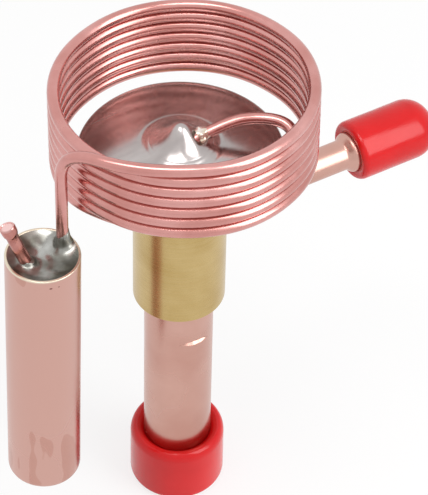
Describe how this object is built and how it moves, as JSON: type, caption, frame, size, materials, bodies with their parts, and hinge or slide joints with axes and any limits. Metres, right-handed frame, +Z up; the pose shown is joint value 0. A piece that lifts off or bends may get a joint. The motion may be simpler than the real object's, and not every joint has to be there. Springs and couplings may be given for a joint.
{
  "type": "thermostatic expansion valve",
  "caption": "Refrigerant metering valve with a coiled capillary, remote sensing bulb, side inlet and bottom outlet, both capped.",
  "frame": {"origin": "centre of the outlet cap's base, on the valve axis", "axes": "+Z up the valve axis towards the power head, +X along the inlet tube"},
  "size_m": [0.1129, 0.0592, 0.1272],
  "materials": {
    "red_vinyl": "glossy moulded vinyl",
    "copper_tube": "bright drawn copper",
    "capillary_copper": "bright drawn copper, wound",
    "bulb_copper": "satin drawn copper",
    "brass_body": "turned brass",
    "brass_parts": "turned brass",
    "head_plating": "copper flash on pressed steel, polished",
    "steel_parts": "ground stainless steel",
    "silver_alloy": "brazing alloy, as run",
    "solder": "silver solder, as run",
    "black_rubber": "matt"
  },
  "bodies": {
    "valve": {"outlet_tube": "copper_tube", "outlet_braze": "silver_alloy", "valve_body": "brass_body", "orifice_seat": "steel_parts", "valve_spring": "steel_parts", "adjusting_nut": "brass_parts", "rod_seal": "black_rubber", "seal_retainer": "brass_parts", "inlet_tube": "copper_tube", "inlet_strainer": "brass_parts", "inlet_braze": "silver_alloy", "head_lower_case": "head_plating", "diaphragm": "steel_parts", "head_upper_case": "head_plating", "capillary_tube": "capillary_copper", "capillary_braze": "silver_alloy", "sensing_bulb": "bulb_copper", "bulb_end_solder": "solder", "bulb_fill_tube": "capillary_copper"},
    "valve_pin": {"valve_ball": "steel_parts", "ball_carrier": "brass_parts", "push_rod": "steel_parts", "thrust_pad": "brass_parts"},
    "outlet_cap": {"outlet_cap": "red_vinyl"},
    "inlet_cap": {"inlet_cap": "red_vinyl"}
  },
  "joints": [
    {"name": "valve_lift", "type": "slide", "parent": "valve", "child": "valve_pin", "axis": [0, 0, -1], "range_m": [0, 0.0008], "stiffness_N_per_m": 1500, "deforming": ["valve_spring"]},
    {"name": "outlet_cap_pull", "type": "slide", "parent": "valve", "child": "outlet_cap", "axis": [0, 0, -1], "range_m": [0, 0.03]},
    {"name": "inlet_cap_pull", "type": "slide", "parent": "valve", "child": "inlet_cap", "axis": [1, 0, 0], "range_m": [0, 0.035]}
  ]
}
